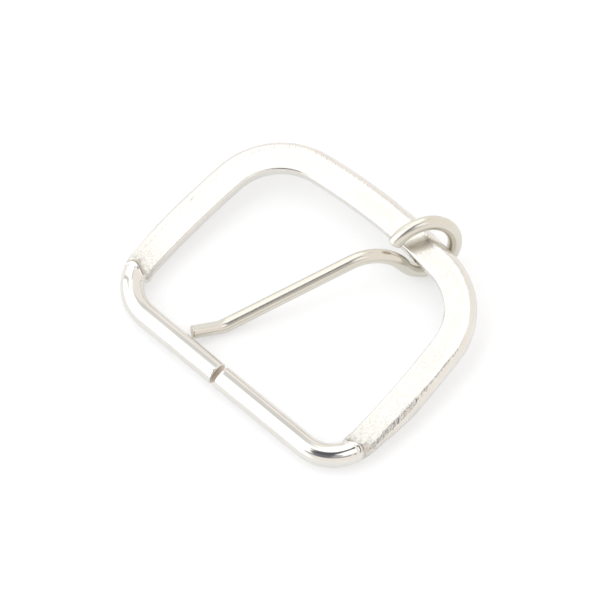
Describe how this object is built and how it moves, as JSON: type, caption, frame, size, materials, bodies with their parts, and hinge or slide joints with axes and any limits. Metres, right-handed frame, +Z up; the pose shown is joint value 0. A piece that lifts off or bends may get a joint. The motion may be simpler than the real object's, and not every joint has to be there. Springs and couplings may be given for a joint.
{
  "type": "belt buckle",
  "caption": "Wire belt buckle: a rounded rectangular wire frame, pressed flat on its sides and far side, with a loose wire prong curled round the flat side.",
  "frame": {"origin": "middle of the bounding box at its lowest level, which is the lowest point of the prong's eye", "axes": "+X along the round bar, +Y from the round bar to the arched far side, +Z up, square to the frame, towards the side on which the prong lies"},
  "size_m": [0.0546, 0.0468, 0.0114],
  "materials": {
    "frame_nickel": "nickel plated steel wire, bright where round, satin and finely pitted where pressed flat",
    "prong_nickel": "bright nickel plated steel wire with fine drawing marks"
  },
  "bodies": {
    "frame": {"wire_frame": "frame_nickel"},
    "prong": {"wire_prong": "prong_nickel"}
  },
  "joints": [
    {"name": "prong_swing", "type": "hinge", "parent": "frame", "child": "prong", "pos_m": [0.00945, 0.01777, 0.0057], "axis": [-0.798, 0.4346, -0.4174], "range_deg": [0, 180]}
  ]
}
